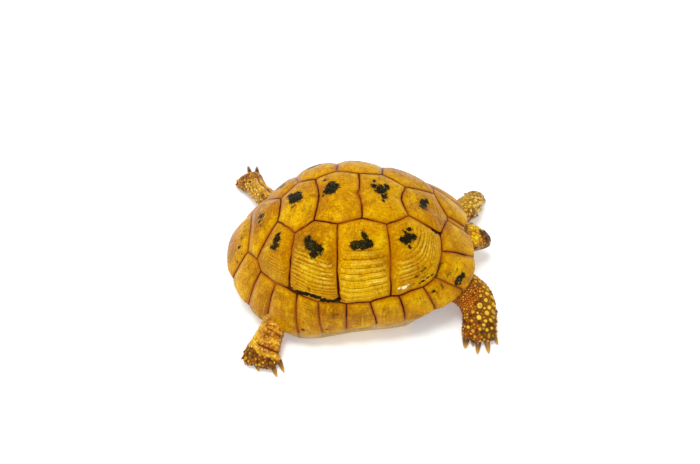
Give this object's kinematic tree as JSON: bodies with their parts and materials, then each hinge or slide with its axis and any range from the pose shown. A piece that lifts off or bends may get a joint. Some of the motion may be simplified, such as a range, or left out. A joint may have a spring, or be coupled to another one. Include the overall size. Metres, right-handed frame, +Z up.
{
  "type": "tortoise",
  "caption": "Life-size still model of a golden spur-thighed tortoise lying on its plastron, head forward and legs spread, domed horny shell with dark blotches.",
  "frame": {"origin": "centre of the plastron's flat underside, on the floor", "axes": "+Z up, head towards -Y, the animal's left side towards +X"},
  "size_m": [0.2196, 0.2271, 0.0861],
  "materials": {
    "shell_horn": "satin horn plates, golden yellow with black areola blotches and red-brown seams",
    "plastron_horn": "satin horn plates, pale yellow with dark patches",
    "skin": "dry granular scaled skin, orange-brown and yellow",
    "leg_scale": "large horny leg scales, yellow with dark tips",
    "head_skin": "small smooth head scales, dark brown with yellow patches",
    "beak_horn": "smooth dark horn",
    "claw_horn": "worn brown horn",
    "eye": "wet dark eye"
  },
  "bodies": {
    "root": {"carapace": "shell_horn", "plastron": "plastron_horn", "trunk": "skin", "neck": "skin", "head": "head_skin", "eye_left": "eye", "eye_right": "eye", "foreleg_left": "skin", "forefoot_left": "skin", "foreleg_right": "skin", "forefoot_right": "skin", "hindleg_left": "skin", "hindfoot_left": "skin", "hindleg_right": "skin", "hindfoot_right": "skin", "tail": "skin", "claw_fore_left_1": "claw_horn", "claw_fore_left_2": "claw_horn", "claw_fore_left_3": "claw_horn", "claw_fore_left_4": "claw_horn", "claw_fore_left_5": "claw_horn", "claw_fore_right_1": "claw_horn", "claw_fore_right_2": "claw_horn", "claw_fore_right_3": "claw_horn", "claw_fore_right_4": "claw_horn", "claw_fore_right_5": "claw_horn", "claw_hind_left_1": "claw_horn", "claw_hind_left_2": "claw_horn", "claw_hind_left_3": "claw_horn", "claw_hind_left_4": "claw_horn", "claw_hind_right_1": "claw_horn", "claw_hind_right_2": "claw_horn", "claw_hind_right_3": "claw_horn", "claw_hind_right_4": "claw_horn"}
  },
  "joints": []
}
